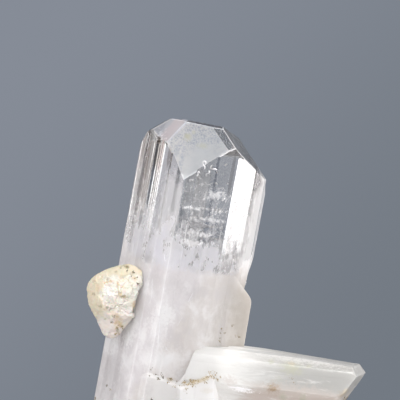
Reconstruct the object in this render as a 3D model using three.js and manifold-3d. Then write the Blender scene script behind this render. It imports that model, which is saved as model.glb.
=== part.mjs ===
// A danburite specimen in millimetres, +Z up, resting on its broken foot with the origin under its middle.
// A tall prism with a bevelled chisel tip leans to the right. A small parallel crystal grows on its right
// flank, a stout crystal lies across its foot, and short stubs and a milky root join them in one solid.
// A lump of cream matrix is a solid of its own, seated on the left flank with a narrow gap.
import * as THREE from 'three';
import { ImprovedNoise } from 'three/addons/math/ImprovedNoise.js';
import { mergeVertices } from 'three/addons/utils/BufferGeometryUtils.js';
import Module from 'manifold-3d';

const wasm = await Module();
wasm.setup();

// Crystals. Each has its own frame: x across, y away from the viewer, z along the crystal, and
// `at` is where that frame's origin stands. A section goes anticlockwise, each corner with the growth
// ledges on the face that starts there: `stops` are fractions along the face where the surface
// goes in by `depth`, out again, and so on. A tip face looks towards `facing` degrees (0 right, 90 back,
// 270 front), is tilted `slope` degrees from square across the crystal, and cuts its axis at `apex`.
const TALL = {
  at: [0, 0, 0],
  leanRight: 10.4,
  leanForward: 6,
  from: -14,
  to: 56,
  section: [
    { corner: [-2.5, -9.9], stops: [0.22, 0.25, 0.6, 0.64], depth: 0.1 },
    { corner: [5.0, -5.4], stops: [], depth: 0 },
    { corner: [5.5, -4.9], stops: [0.34, 0.37, 0.78, 0.8], depth: 0.12 },
    { corner: [9.5, 0.8], stops: [0.5, 0.56], depth: 0.15 },
    { corner: [10.0, 4.8], stops: [0.3, 0.34, 0.7, 0.72], depth: 0.2 },
    { corner: [3.1, 9.3], stops: [], depth: 0 },
    { corner: [-2.1, 9.7], stops: [0.25, 0.28, 0.55, 0.6], depth: 0.22 },
    { corner: [-9.5, 5.1], stops: [], depth: 0 },
    { corner: [-9.7, 1.3], stops: [0.24, 0.34, 0.44, 0.52, 0.74, 0.86], depth: 0.32 },
    { corner: [-6.9, -4.9], stops: [0.2, 0.32, 0.62, 0.8], depth: 0.22 },
    { corner: [-6.0, -6.3], stops: [0.3, 0.34], depth: 0.12 },
  ],
  tip: [
    { facing: 268.8, slope: 53.1, apex: 54.3 }, // large front facet
    { facing: 278, slope: 47.4, apex: 53.3 }, // narrow strip on its right
    { facing: 215.4, slope: 44.9, apex: 54.1 }, // left shoulder
    { facing: 358.6, slope: 43.5, apex: 50.7 }, // right slope
    { facing: 175, slope: 40, apex: 53.4 }, // left slope behind the shoulder
    { facing: 180, slope: 72, apex: 73.6 }, // small bevel at the left corner
    { facing: 181, slope: 10.4, apex: 49.6 }, // left half of the crest
    { facing: 290, slope: 3, apex: 48.95 }, // narrow flat crest
    { facing: 90, slope: 16.2, apex: 48.3 }, // gentle slope behind the crest
    { facing: 90, slope: 50, apex: 53.8 }, // back facet
    { facing: 30, slope: 62, apex: 59.9 }, // back right shoulder
    { facing: 140, slope: 55, apex: 57.2 }, // back left shoulder
  ],
  // the right side draws in lower down: what lies beyond both of these planes is gone
  waist: [
    { facing: 0, slope: 90, reach: 9.45 },
    { facing: 0, slope: 102.5, reach: 3.55 },
  ],
};

// parallel crystal on the right flank
const FLANK = {
  at: [6.2, 0.4, 0],
  leanRight: 9.6,
  leanForward: 6,
  from: -14,
  to: 40,
  section: [
    { corner: [-2.2, -6.3], stops: [0.45, 0.5], depth: 0.1 },
    { corner: [2.2, -4.2], stops: [0.5, 0.55], depth: 0.12 },
    { corner: [5.1, 0.2], stops: [], depth: 0 },
    { corner: [4.9, 3.2], stops: [0.4, 0.46], depth: 0.15 },
    { corner: [1.0, 5.6], stops: [], depth: 0 },
    { corner: [-4.4, 2.0], stops: [], depth: 0 },
  ],
  tip: [
    { facing: 352, slope: 46, apex: 27.6 },
    { facing: 5, slope: 70, apex: 36.0 },
    { facing: 262, slope: 56, apex: 27.5 },
    { facing: 85, slope: 50, apex: 29.5 },
  ],
};

// stout crystal across the foot: its frame lies on its side, so x is down, y away and z to the right
const LYING = {
  at: [5, -0.9, 14.2],
  leanRight: 96.5,
  leanForward: 0,
  swing: 8,
  from: -4,
  to: 34,
  section: [
    { corner: [-0.9, 2.4], stops: [0.4, 0.44], depth: 0.12 },
    { corner: [-0.6, -5.4], stops: [], depth: 0 },
    { corner: [0.5, -7.2], stops: [0.55, 0.6], depth: 0.1 },
    { corner: [4.3, -8.1], stops: [0.3, 0.36, 0.62, 0.66], depth: 0.14 },
    { corner: [9.4, -6.2], stops: [0.45, 0.5], depth: 0.15 },
    { corner: [12.2, -2.0], stops: [], depth: 0 },
    { corner: [12.0, 2.6], stops: [0.5, 0.55], depth: 0.2 },
    { corner: [8.2, 5.8], stops: [], depth: 0 },
    { corner: [2.4, 5.2], stops: [0.5, 0.56], depth: 0.15 },
  ],
  tip: [
    { facing: 180, slope: 36.9, apex: 26.4 }, // short upper face
    { facing: 0, slope: 30.4, apex: 28.15 }, // long face that undercuts the end
    { facing: 300, slope: 60, apex: 40.4 }, // small corner facet at the front
    { facing: 62, slope: 58, apex: 35.5 },
    { facing: 180, slope: 87.4, apex: 31.2 }, // the top runs down slightly to the right
  ],
  leftEnd: { facing: 176, slope: 165, reach: -2.45 },
};

// short stubs around the foot
const STUBS = [
  {
    at: [0.9, -8.2, 0],
    leanRight: 0,
    leanForward: 0,
    from: -14,
    to: 20,
    section: [
      { corner: [-2.3, -2.8], stops: [], depth: 0 },
      { corner: [0.5, -4.4], stops: [0.4, 0.5], depth: 0.1 },
      { corner: [2.7, -3.3], stops: [], depth: 0 },
      { corner: [2.6, 2.0], stops: [], depth: 0 },
      { corner: [-2.0, 2.0], stops: [], depth: 0 },
    ],
    tip: [
      { facing: 343, slope: 24.6, apex: 9.97 },
      { facing: 250, slope: 60, apex: 15.2 },
    ],
  },
  {
    at: [6.4, -7.4, 0],
    leanRight: 0,
    leanForward: 0,
    from: -14,
    to: 20,
    section: [
      { corner: [-3.9, -3.2], stops: [], depth: 0 },
      { corner: [-1.4, -5.5], stops: [0.4, 0.46], depth: 0.12 },
      { corner: [2.6, -5.1], stops: [], depth: 0 },
      { corner: [4.0, -2.4], stops: [], depth: 0 },
      { corner: [3.6, 3.0], stops: [], depth: 0 },
      { corner: [-3.6, 3.0], stops: [], depth: 0 },
    ],
    tip: [
      { facing: 247.6, slope: 27, apex: 10.3 },
      { facing: 10, slope: 70, apex: 20.6 },
      { facing: 280, slope: 62, apex: 17.6 },
    ],
  },
  {
    at: [-1.6, 7.6, 0],
    leanRight: 2,
    leanForward: -14,
    from: -14,
    to: 30,
    section: [
      { corner: [-3.6, -2.4], stops: [], depth: 0 },
      { corner: [3.2, -3.0], stops: [], depth: 0 },
      { corner: [4.2, 1.4], stops: [0.4, 0.46], depth: 0.12 },
      { corner: [0.6, 4.4], stops: [0.4, 0.46], depth: 0.14 },
      { corner: [-4.1, 1.2], stops: [], depth: 0 },
    ],
    tip: [
      { facing: 95, slope: 52, apex: 21.5 },
      { facing: 10, slope: 40, apex: 20.4 },
      { facing: 185, slope: 44, apex: 21.2 },
    ],
  },
  {
    at: [8.6, 6.4, 0],
    leanRight: 26,
    leanForward: -24,
    from: -14,
    to: 30,
    section: [
      { corner: [-2.9, -2.2], stops: [], depth: 0 },
      { corner: [2.6, -2.6], stops: [], depth: 0 },
      { corner: [3.6, 1.2], stops: [0.4, 0.46], depth: 0.1 },
      { corner: [0.4, 3.7], stops: [0.5, 0.55], depth: 0.12 },
      { corner: [-3.3, 1.4], stops: [], depth: 0 },
    ],
    tip: [
      { facing: 88, slope: 50, apex: 14.6 },
      { facing: 5, slope: 42, apex: 13.8 },
      { facing: 180, slope: 40, apex: 14.4 },
    ],
  },
];

// milky root under the crystals: [middle, half sizes] of each rough lump
const ROOT = {
  lumps: [
    { middle: [9.5, 0.5, 1.4], radii: [14.5, 10.6, 6.4] },
    { middle: [-1.2, 2.6, 0.8], radii: [8.4, 10.4, 7.2] },
  ],
  detail: 7,
  bumpSize: 4.6,
  bumpHeight: 1.5,
};

// cream matrix on the left flank: its outline seen from the front goes round `middle` as [x, z] points
const KNOB = {
  middle: [-5.9, -6.9, 21.2],
  outline: [
    [4.9, 4.2], [2.6, 5.5], [0.7, 5.25], [-1.35, 4.5], [-3.45, 3.0], [-3.98, 0.55],
    [-3.3, -1.6], [-2.25, -3.65], [-1.3, -5.2], [0.5, -5.5], [2.6, -2.9], [4.0, 1.2],
  ],
  halfDepth: 3.7,
  slant: 0.58, // how far it comes forward for each millimetre to the right, along the crystal's faces
  detail: 11,
  bumpSize: 2.1,
  bumpHeight: 0.42,
  grainSize: 0.75,
  grainHeight: 0.13,
};
const SEAT_GAP = 0.3; // clearance between the matrix and the crystal
const CUTTER = 120; // side of the block that takes away what lies beyond a face

const noise = new ImprovedNoise();
const radians = THREE.MathUtils.degToRad;

function toSolid(geometry) {
  const bare = geometry.clone();
  bare.deleteAttribute('normal');
  bare.deleteAttribute('uv');
  const merged = mergeVertices(bare, 1e-5);
  const vertProperties = new Float32Array(merged.attributes.position.array);
  const triVerts = new Uint32Array(merged.index.array);
  return new wasm.Manifold(new wasm.Mesh({ numProp: 3, vertProperties, triVerts }));
}

function toGeometry(solid) {
  const mesh = solid.getMesh();
  const geometry = new THREE.BufferGeometry();
  geometry.setAttribute('position', new THREE.BufferAttribute(mesh.vertProperties, 3));
  geometry.setIndex(new THREE.BufferAttribute(mesh.triVerts, 1));
  geometry.computeVertexNormals();
  return geometry;
}

function placement({ at, leanRight, leanForward, swing = 0 }) {
  const lean = new THREE.Matrix4().makeRotationY(radians(leanRight));
  const tilt = new THREE.Matrix4().makeRotationX(radians(leanForward));
  const turn = new THREE.Matrix4().makeRotationZ(radians(-swing));
  const shift = new THREE.Matrix4().makeTranslation(...at);
  return shift.multiply(turn).multiply(lean).multiply(tilt);
}

// the section's outline with the growth ledges sunk into its faces
function ledgedOutline(section) {
  const points = [];
  section.forEach(({ corner, stops, depth }, i) => {
    const start = new THREE.Vector2(...corner);
    const end = new THREE.Vector2(...section[(i + 1) % section.length].corner);
    const along = end.clone().sub(start);
    const inward = new THREE.Vector2(-along.y, along.x).normalize();
    points.push(start);
    stops.forEach((stop, k) => {
      const sunk = depth * (k % 4 === 0 || k % 4 === 3 ? 0 : 1);
      points.push(start.clone().addScaledVector(along, stop).addScaledVector(inward, sunk));
    });
  });
  return points;
}

// block whose underside is the plane across `normal` at `distance` from the crystal's origin
function blockBeyond(normal, distance) {
  const block = new THREE.BoxGeometry(CUTTER, CUTTER, CUTTER);
  block.translate(0, 0, CUTTER / 2);
  const aim = new THREE.Quaternion().setFromUnitVectors(new THREE.Vector3(0, 0, 1), normal);
  block.applyQuaternion(aim);
  return block.translate(...normal.clone().multiplyScalar(distance));
}

function faceNormal({ facing, slope }) {
  const outward = Math.sin(radians(slope));
  const turn = radians(facing);
  return new THREE.Vector3(outward * Math.cos(turn), outward * Math.sin(turn), Math.cos(radians(slope)));
}

function growCrystal(crystal, skin = 0) {
  const place = placement(crystal);
  const outline = new THREE.Shape(ledgedOutline(crystal.section));
  const prism = new THREE.ExtrudeGeometry(outline, {
    depth: crystal.to - crystal.from,
    bevelEnabled: false,
  });
  const middleReach = 9;
  const swell = 1 + skin / middleReach;
  prism.translate(0, 0, crystal.from).scale(swell, swell, 1);
  let solid = toSolid(prism.applyMatrix4(place));
  for (const face of crystal.tip) {
    const normal = faceNormal(face);
    const block = blockBeyond(normal, face.apex * normal.z + skin);
    solid = solid.subtract(toSolid(block.applyMatrix4(place)));
  }
  return solid;
}

// solid block beyond a face that is given by its own reach from the crystal's origin
function beyondFace(crystal, face) {
  const block = blockBeyond(faceNormal(face), face.reach);
  return toSolid(block.applyMatrix4(placement(crystal)));
}

function growTall() {
  const [side, taper] = TALL.waist.map((face) => beyondFace(TALL, face));
  return growCrystal(TALL).subtract(side.intersect(taper));
}

// the lying crystal also ends on the left, in a clean face that looks back over the tall one
function growLying() {
  return growCrystal(LYING).subtract(beyondFace(LYING, LYING.leftEnd));
}

function bump(point, size, height) {
  return height * noise.noise(point.x / size, point.y / size, point.z / size);
}

// unit ball of even triangles, each point moved by `move`
function ball(detail, move) {
  const geometry = new THREE.IcosahedronGeometry(1, detail);
  geometry.deleteAttribute('normal');
  geometry.deleteAttribute('uv');
  const merged = mergeVertices(geometry, 1e-4);
  const position = merged.attributes.position;
  const point = new THREE.Vector3();
  for (let i = 0; i < position.count; i += 1) {
    move(point.fromBufferAttribute(position, i));
    position.setXYZ(i, point.x, point.y, point.z);
  }
  return merged;
}

function rootLump({ middle, radii }) {
  const centre = new THREE.Vector3(...middle);
  const size = new THREE.Vector3(...radii);
  const geometry = ball(ROOT.detail, (point) => {
    const outward = point.clone();
    point.multiply(size).add(centre);
    point.addScaledVector(outward, bump(point, ROOT.bumpSize, ROOT.bumpHeight));
  });
  return toSolid(geometry);
}

// distance from the knob's middle to its outline, by direction in the x-z plane
function knobReach() {
  const samples = 180;
  const corners = KNOB.outline.map(([x, z]) => new THREE.Vector3(x, 0, z));
  const curve = new THREE.CatmullRomCurve3(corners, true, 'centripetal');
  const ring = curve.getPoints(samples).map((p) => [Math.atan2(p.z, p.x), Math.hypot(p.x, p.z)]);
  ring.sort((a, b) => a[0] - b[0]);
  return (angle) => {
    const next = ring.findIndex(([a]) => a >= angle);
    return ring[next < 0 ? 0 : next][1];
  };
}

function growKnob() {
  const reach = knobReach();
  const centre = new THREE.Vector3(...KNOB.middle);
  const geometry = ball(KNOB.detail, (point) => {
    const outward = point.clone();
    const across = reach(Math.atan2(point.z, point.x));
    point.multiply(new THREE.Vector3(across, KNOB.halfDepth, across));
    point.y -= KNOB.slant * point.x;
    point.add(centre);
    const rise = bump(point, KNOB.bumpSize, KNOB.bumpHeight) + bump(point, KNOB.grainSize, KNOB.grainHeight);
    point.addScaledVector(outward, rise);
  });
  return toSolid(geometry).subtract(growCrystal(TALL, SEAT_GAP));
}

function growCluster() {
  const ground = new THREE.BoxGeometry(CUTTER, CUTTER, CUTTER).translate(0, 0, -CUTTER / 2);
  const grown = [growTall(), growCrystal(FLANK), growLying()];
  grown.push(...STUBS.map((stub) => growCrystal(stub)));
  grown.push(...ROOT.lumps.map(rootLump));
  return grown.reduce((whole, piece) => whole.add(piece)).subtract(toSolid(ground));
}

function named(name, solid, finish) {
  const mesh = new THREE.Mesh(toGeometry(solid), new THREE.MeshStandardMaterial(finish));
  mesh.name = name;
  return mesh;
}

const group = new THREE.Group();
group.add(named('danburite_cluster', growCluster(), { color: '#e4e0e2', roughness: 0.15, metalness: 0 }));
group.add(named('matrix_knob', growKnob(), { color: '#e2dac4', roughness: 0.8, metalness: 0 }));

// stand the specimen with its foot at z = 0 and the origin under the middle of its box
const box = new THREE.Box3().setFromObject(group);
const middle = box.getCenter(new THREE.Vector3());
group.position.set(-middle.x, -middle.y, -box.min.z);
group.updateMatrixWorld(true);

export default group;
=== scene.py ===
import math
import random
import bpy
import bmesh
from mathutils import Euler, Matrix, Vector, noise
from mathutils.bvhtree import BVHTree


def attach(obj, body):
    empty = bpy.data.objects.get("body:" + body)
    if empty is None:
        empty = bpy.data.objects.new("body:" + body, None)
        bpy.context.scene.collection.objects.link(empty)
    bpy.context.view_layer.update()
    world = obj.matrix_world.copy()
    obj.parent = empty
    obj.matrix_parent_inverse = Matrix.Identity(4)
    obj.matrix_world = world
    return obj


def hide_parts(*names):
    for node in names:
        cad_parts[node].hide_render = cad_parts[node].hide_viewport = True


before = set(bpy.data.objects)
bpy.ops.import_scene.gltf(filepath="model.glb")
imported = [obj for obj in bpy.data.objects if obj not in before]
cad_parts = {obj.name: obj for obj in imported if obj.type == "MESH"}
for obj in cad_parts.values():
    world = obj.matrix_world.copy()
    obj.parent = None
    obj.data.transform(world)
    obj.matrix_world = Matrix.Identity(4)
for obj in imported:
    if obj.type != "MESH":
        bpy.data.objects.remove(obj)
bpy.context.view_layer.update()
print("frame loaded:", sorted(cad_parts))

mm = 0.001
# The crystals are laid out round the tall one's foot. This brings them to the middle of the frame.
clusterShift = Vector((-11.201, -0.797, 0.0))


def toLinear(hexColour):
    channels = [int(hexColour[i:i + 2], 16) / 255 for i in (1, 3, 5)]
    return [c / 12.92 if c <= 0.04045 else ((c + 0.055) / 1.055) ** 2.4 for c in channels] + [1.0]


# Sets or links each input, and returns the named output or else the first one in use.
def addNode(tree, kind, inputs=None, output=None, **settings):
    node = tree.nodes.new("ShaderNode" + kind)
    for name, value in settings.items():
        setattr(node, name, value)
    for name, value in (inputs or {}).items():
        if isinstance(value, bpy.types.NodeSocket):
            tree.links.new(value, node.inputs[name])
        else:
            node.inputs[name].default_value = value
    if output:
        return node.outputs[output]
    return next((socket for socket in node.outputs if socket.enabled), None)


def newMaterial(name):
    material = bpy.data.materials.new(name)
    material.use_nodes = True
    tree = material.node_tree
    tree.nodes.clear()
    return material, tree, addNode(tree, "TexCoord", output="Object")


def smoothStep(start, end, value):
    share = min(1, max(0, (value - start) / (end - start)))
    return share * share * (3 - 2 * share)


# Millimetres in each crystal's own frame: x across, y away from the viewer, z along the crystal.
# A section runs anticlockwise. Each corner has the ledges of the face that starts there, as fractions
# along it and a depth, and the face's ripple: how wide and how deep its fine growth lines are.
# A tip face has the way it looks (0 right, 90 back), its slope and where it cuts the axis.
tallCrystal = {
    "name": "tall",
    "at": (0, 0, 0), "leanRight": 10.4, "leanForward": 6, "swing": 0,
    "from": -14, "to": 56, "level": 1.4, "seed": 3,
    "section": [
        ((-2.5, -9.9), ((0.22, 0), (0.25, 0.1), (0.6, 0.1), (0.64, 0)), (0.42, 0.012)),
        ((5.0, -5.4), (), (0.3, 0.004)),
        ((5.5, -4.9), ((0.34, 0), (0.37, 0.12), (0.78, 0.12), (0.8, 0)), (0.6, 0.014)),
        ((9.5, 0.8), ((0.5, 0), (0.56, 0.15)), (0.4, 0.02)),
        ((10.0, 4.8), ((0.3, 0), (0.34, 0.2), (0.7, 0.2), (0.72, 0)), (0.5, 0.02)),
        ((3.1, 9.3), (), (0.6, 0.012)),
        ((-2.1, 9.7), ((0.25, 0), (0.28, 0.22), (0.55, 0.22), (0.6, 0)), (0.6, 0.014)),
        ((-9.5, 5.1), (), (0.4, 0.03)),
        ((-9.7, 1.3), ((0.27, 0.02), (0.39, 0.17), (0.4, 0.03), (0.52, 0.09), (0.62, 0.04), (0.8, 0.03),
                       (0.95, 0.24), (0.97, 0.06)), (0.3, 0.02)),
        ((-6.9, -4.9), ((0.08, 0.05), (0.5, 0.0), (0.54, 0.06), (0.9, 0.02)), (0.3, 0.006)),
        ((-6.0, -6.3), ((0.3, 0), (0.34, 0.12)), (0.36, 0.02)),
    ],
    "tip": [
        (268.8, 53.1, 54.3), (278, 47.4, 53.3), (215.4, 44.9, 54.1), (358.6, 43.5, 50.7),
        (175, 40, 53.4), (180, 72, 73.6), (181, 10.4, 49.6), (290, 3, 48.95),
        (90, 16.2, 48.3), (90, 50, 55.2), (30, 62, 59.9), (140, 55, 57.2),
    ],
    "frosted": {0: 1.0, 1: 0.3, 3: 0.42, 9: 0.6, 11: 0.35},  # how etched each of these tip faces is
    "banded": {2: 1.0},
    "waist": {"narrow": 9.45, "start": 3.637, "perMm": 0.2217},
    "calmFoot": 0.85,  # share of its fine lines that the milky foot loses
}
flankCrystal = {
    "name": "flank",
    "at": (6.2, 0.4, 0), "leanRight": 9.6, "leanForward": 6, "swing": 0,
    "from": -14, "to": 40, "level": 1.6, "seed": 5,
    "section": [
        ((-1.0, -4.4), ((0.45, 0), (0.5, 0.06)), (0.5, 0.02)),
        ((5.1, 0.2), (), (0.5, 0.03)),
        ((4.9, 3.2), ((0.4, 0), (0.46, 0.15)), (0.5, 0.03)),
        ((1.0, 5.6), (), (0.5, 0.03)),
        ((-4.4, 2.0), (), (0.5, 0.03)),
    ],
    "tip": [(7, 46, 27.6), (5, 70, 36.0), (85, 50, 29.5)],
}
lyingCrystal = {
    "name": "lying",
    "at": (5, -0.9, 14.2), "leanRight": 96.5, "leanForward": 0, "swing": 8,
    "from": -4, "to": 34, "level": 1.2, "seed": 8,
    "section": [
        ((-0.9, 2.4), ((0.4, 0), (0.44, 0.12)), (0.5, 0.03)),
        ((-0.6, -5.4), (), (0.4, 0.03)),
        ((0.5, -7.2), ((0.3, 0.02), (0.7, 0.05)), (0.6, 0.02)),
        ((4.3, -7.8), ((0.19, 0), (0.21, 0.04), (0.5, 0.02), (0.75, 0.05)), (0.45, 0.02)),
        ((9.4, -6.75), ((0.45, 0), (0.5, 0.15)), (0.6, 0.04)),
        ((12.2, -2.0), (), (0.6, 0.04)),
        ((12.0, 2.6), ((0.5, 0), (0.55, 0.2)), (0.6, 0.04)),
        ((8.2, 5.8), (), (0.6, 0.04)),
        ((2.4, 5.2), ((0.5, 0), (0.56, 0.15)), (0.5, 0.03)),
    ],
    "tip": [
        (180, 36.9, 26.25), (0, 30.4, 27.6), (300, 60, 40.0), (62, 58, 35.5), (180, 87.4, 31.2),
    ],
    "leftEnd": (176, 165, -2.45),
}
stubCrystals = [
    {
        "name": "stub", "at": (0, 0, 0), "leanRight": 10.4, "leanForward": 6, "swing": 0,
        "from": -14, "to": 20, "level": 1.5, "seed": 12,
        "section": [
            ((-3.45, -9.25), (), (0.5, 0.02)), ((-2.54, -10.18), (), (0.6, 0.02)),
            ((6.03, -5.04), (), (0.5, 0.03)), ((5.0, -3.0), (), (0.5, 0.03)),
            ((-3.0, -7.5), (), (0.5, 0.03)),
        ],
        "tip": [(308.4, 62.2, 23.36), (209.3, 62.8, 25.2)],
    },
    {
        "name": "stub", "at": (7.4, -8.75, 0), "leanRight": 0, "leanForward": 0, "swing": 8,
        "from": -14, "to": 20, "level": 1.5, "seed": 14,
        "section": [
            ((-5.2, 1.2), (), (0.5, 0.03)), ((-3.2, -0.5), ((0.4, 0), (0.46, 0.06)), (0.5, 0.02)),
            ((1.9, -0.5), (), (0.5, 0.03)), ((2.5, 0.1), (), (0.5, 0.03)),
            ((2.4, 1.3), (), (0.5, 0.03)), ((-4.0, 1.3), (), (0.5, 0.03)),
        ],
        "tip": [(258.5, 62.5, 10.29), (0, 50, 12.1)],
    },
    {
        "name": "stub", "at": (-1.6, 7.6, 0), "leanRight": 2, "leanForward": -14, "swing": 0,
        "from": -14, "to": 30, "level": 1.5, "seed": 16,
        "section": [
            ((-3.6, -2.4), (), (0.5, 0.03)), ((3.2, -3.0), (), (0.5, 0.03)),
            ((4.2, 1.4), ((0.4, 0), (0.46, 0.12)), (0.5, 0.04)),
            ((0.6, 4.4), ((0.4, 0), (0.46, 0.14)), (0.5, 0.04)),
            ((-4.1, 1.2), (), (0.5, 0.03)),
        ],
        "tip": [(95, 52, 21.5), (10, 40, 20.4), (185, 44, 21.2)],
    },
    {
        "name": "stub", "at": (8.6, 6.4, 0), "leanRight": 26, "leanForward": -24, "swing": 0,
        "from": -14, "to": 30, "level": 1.5, "seed": 18,
        "section": [
            ((-2.9, -2.2), (), (0.5, 0.03)), ((2.6, -2.6), (), (0.5, 0.03)),
            ((3.6, 1.2), ((0.4, 0), (0.46, 0.1)), (0.5, 0.04)),
            ((0.4, 3.7), ((0.5, 0), (0.55, 0.12)), (0.5, 0.04)),
            ((-3.3, 1.4), (), (0.5, 0.03)),
        ],
        "tip": [(88, 50, 14.6), (5, 42, 13.8), (180, 40, 14.4)],
    },
]
edgeChamfer = 0.05  # the natural rounding of an edge
mergeWithin = 2e-4
lineSpacing = (0.35, 1.8)  # of growth lines, as shares of the face's own
strongShare, strongLine = 0.12, 2.2  # how many lines are stronger, and by how much
calmHeights = (30, 20)  # where the fine lines begin to calm down, and where they have
partNames = ("flank", "lying", "stub", "root")  # one mask each, for the material
tipMasks = ("frosted", "banded", "worn")


def placement(crystal):
    turns = Matrix.Rotation(math.radians(-crystal["swing"]), 4, "Z")
    turns @= Matrix.Rotation(math.radians(crystal["leanRight"]), 4, "Y")
    turns @= Matrix.Rotation(math.radians(crystal["leanForward"]), 4, "X")
    return Matrix.Translation(crystal["at"]) @ turns


def faceNormal(facing, slope):
    turn, tilt = math.radians(facing), math.radians(slope)
    return Vector((math.sin(tilt) * math.cos(turn), math.sin(tilt) * math.sin(turn), math.cos(tilt)))


def ledgeDepth(fraction, ledges):
    spots = [(0.0, 0.0), *ledges, (1.0, 0.0)]
    for (before, shallow), (after, deep) in zip(spots, spots[1:]):
        if fraction <= after:
            return shallow + (deep - shallow) * (fraction - before) / (after - before)
    return 0.0


# Points round the section: where each lies, which way is in, how deep its ledge and its ripple are.
def striatedSection(section, dice):
    points = []
    for i, (corner, ledges, (width, ripple)) in enumerate(section):
        start, end = Vector(corner), Vector(section[(i + 1) % len(section)][0])
        along = end - start
        length = along.length
        inward = Vector((-along.y, along.x)).normalized()
        places = [edgeChamfer / length, 1 - edgeChamfer / length, *(f for f, _ in ledges)]
        at = width
        while at < length - width:
            places.append(at / length)
            at += width * dice.uniform(*lineSpacing)
        for fraction in sorted(places):
            fine = ripple * dice.random() * (strongLine if dice.random() < strongShare else 1.0)
            if fraction in places[:2]:
                fine = 0.0
            points.append((start + along * fraction, inward, ledgeDepth(fraction, ledges), fine))
    return points


def cutBeyond(bm, normal, reach):
    everything = bm.verts[:] + bm.edges[:] + bm.faces[:]
    cut = bmesh.ops.bisect_plane(
        bm, geom=everything, dist=1e-5, plane_co=normal * reach, plane_no=normal, clear_outer=True)
    rim = [e for e in cut["geom_cut"] if isinstance(e, bmesh.types.BMEdge) and e.is_boundary]
    if not rim:
        return []
    return bmesh.ops.holes_fill(bm, edges=rim, sides=0)["faces"]


def growCrystal(crystal):
    dice = random.Random(crystal["seed"])
    points = striatedSection(crystal["section"], dice)
    count = round((crystal["to"] - crystal["from"]) / crystal["level"])
    heights = [crystal["from"] + crystal["level"] * k for k in range(count + 1)]
    waist = crystal.get("waist")
    bm = bmesh.new()
    rings = []
    for z in heights:
        ring = []
        for k, (place, inward, ledge, ripple) in enumerate(points):
            fade = 0.75 + 0.6 * noise.noise((k * 0.37, crystal["seed"], z / 9))
            fade *= 1 - crystal.get("calmFoot", 0) * smoothStep(*calmHeights, z)
            spot = place + inward * (ledge + ripple * fade)
            if waist:
                spot.x = min(spot.x, max(waist["narrow"], waist["start"] + waist["perMm"] * z))
            ring.append(bm.verts.new((spot.x, spot.y, z)))
        rings.append(ring)
    for lower, upper in zip(rings, rings[1:]):
        for k in range(len(points)):
            after = (k + 1) % len(points)
            bm.faces.new((lower[k], lower[after], upper[after], upper[k]))
    bm.faces.new(rings[0][::-1])
    bm.faces.new(rings[-1])
    masks = {name: bm.faces.layers.float.new(name) for name in (*partNames, *tipMasks)}
    planes = []
    for i, (facing, slope, apex) in enumerate(crystal["tip"]):
        normal = faceNormal(facing, slope)
        planes.append((normal, apex * normal.z))
        for face in cutBeyond(bm, *planes[-1]):
            for name in tipMasks:
                face[masks[name]] = crystal.get(name, {}).get(i, 0.0)
    if "leftEnd" in crystal:
        facing, slope, reach = crystal["leftEnd"]
        planes.append((faceNormal(facing, slope), reach))
        cutBeyond(bm, *planes[-1])
    chamferEdges(bm, crystal, planes)
    if crystal["name"] in masks:
        for face in bm.faces:
            face[masks[crystal["name"]]] = 1.0
    bm.transform(placement(crystal))
    return toObject(bm, crystal["name"])


def sidePlanes(crystal):
    corners = [Vector(entry[0]) for entry in crystal["section"]]
    planes = []
    for start, end in zip(corners, corners[1:] + corners[:1]):
        outward = Vector((end.y - start.y, start.x - end.x, 0)).normalized()
        planes.append((outward, outward.dot(start.to_3d())))
    return planes


# Takes the sharpness off every edge that a tip face makes, by a narrow plane across it.
def chamferEdges(bm, crystal, planes):
    worn = bm.faces.layers.float["worn"]
    sides = sidePlanes(crystal)
    for i, (normal, reach) in enumerate(planes):
        for otherNormal, otherReach in planes[i + 1:] + sides:
            both = normal + otherNormal
            if not 0.6 < both.length < 1.99:  # nearly opposite, or nearly the same
                continue
            across = both.normalized()
            limit = (reach + otherReach) / both.length - edgeChamfer
            if max(across.dot(v.co) for v in bm.verts) > limit + 1e-4:
                for face in cutBeyond(bm, across, limit):
                    face[worn] = 1.0


def addObject(name, data):
    made = bpy.data.objects.new(name, data)
    bpy.context.scene.collection.objects.link(made)
    return made


def finishMesh(bm, name):
    mesh = bpy.data.meshes.new(name)
    bm.to_mesh(mesh)
    bm.free()
    return addObject(name, mesh)


def toObject(bm, name):
    bmesh.ops.remove_doubles(bm, verts=bm.verts, dist=mergeWithin)
    return finishMesh(bm, name)


rootLumps = {
    "lumps": [((9.5, 0.5, 1.4), (14.5, 10.6, 6.4)), ((-1.2, 2.6, 0.8), (8.4, 10.4, 7.2))],
    "detail": 6,
    "waves": [(4.6, 1.0), (1.9, 0.4), (0.7, 0.12)],  # size and height of each
}


def roughness(point, waves):
    return sum(height * noise.noise(point / size) for size, height in waves)


def growRoot(middle, radii):
    bm = bmesh.new()
    bmesh.ops.create_icosphere(bm, subdivisions=rootLumps["detail"], radius=1)
    masks = {name: bm.faces.layers.float.new(name) for name in (*partNames, *tipMasks)}
    for vert in bm.verts:
        outward = vert.co.normalized()
        spot = Vector(middle) + Vector([a * b for a, b in zip(vert.co, radii)])
        vert.co = spot + outward * roughness(spot, rootLumps["waves"])
    for face in bm.faces:
        face[masks["root"]] = 1.0
    return toObject(bm, "root")


def combine(whole, other, operation):
    joint = whole.modifiers.new("join", "BOOLEAN")
    joint.operation = operation
    joint.object = other
    joint.solver = "MANIFOLD"
    depsgraph = bpy.context.evaluated_depsgraph_get()
    mesh = bpy.data.meshes.new_from_object(whole.evaluated_get(depsgraph))
    whole.modifiers.clear()
    spent = whole.data
    whole.data = mesh
    bpy.data.meshes.remove(spent)
    return whole


def removeObject(spent):
    mesh = spent.data
    bpy.data.objects.remove(spent)
    bpy.data.meshes.remove(mesh)


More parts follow.
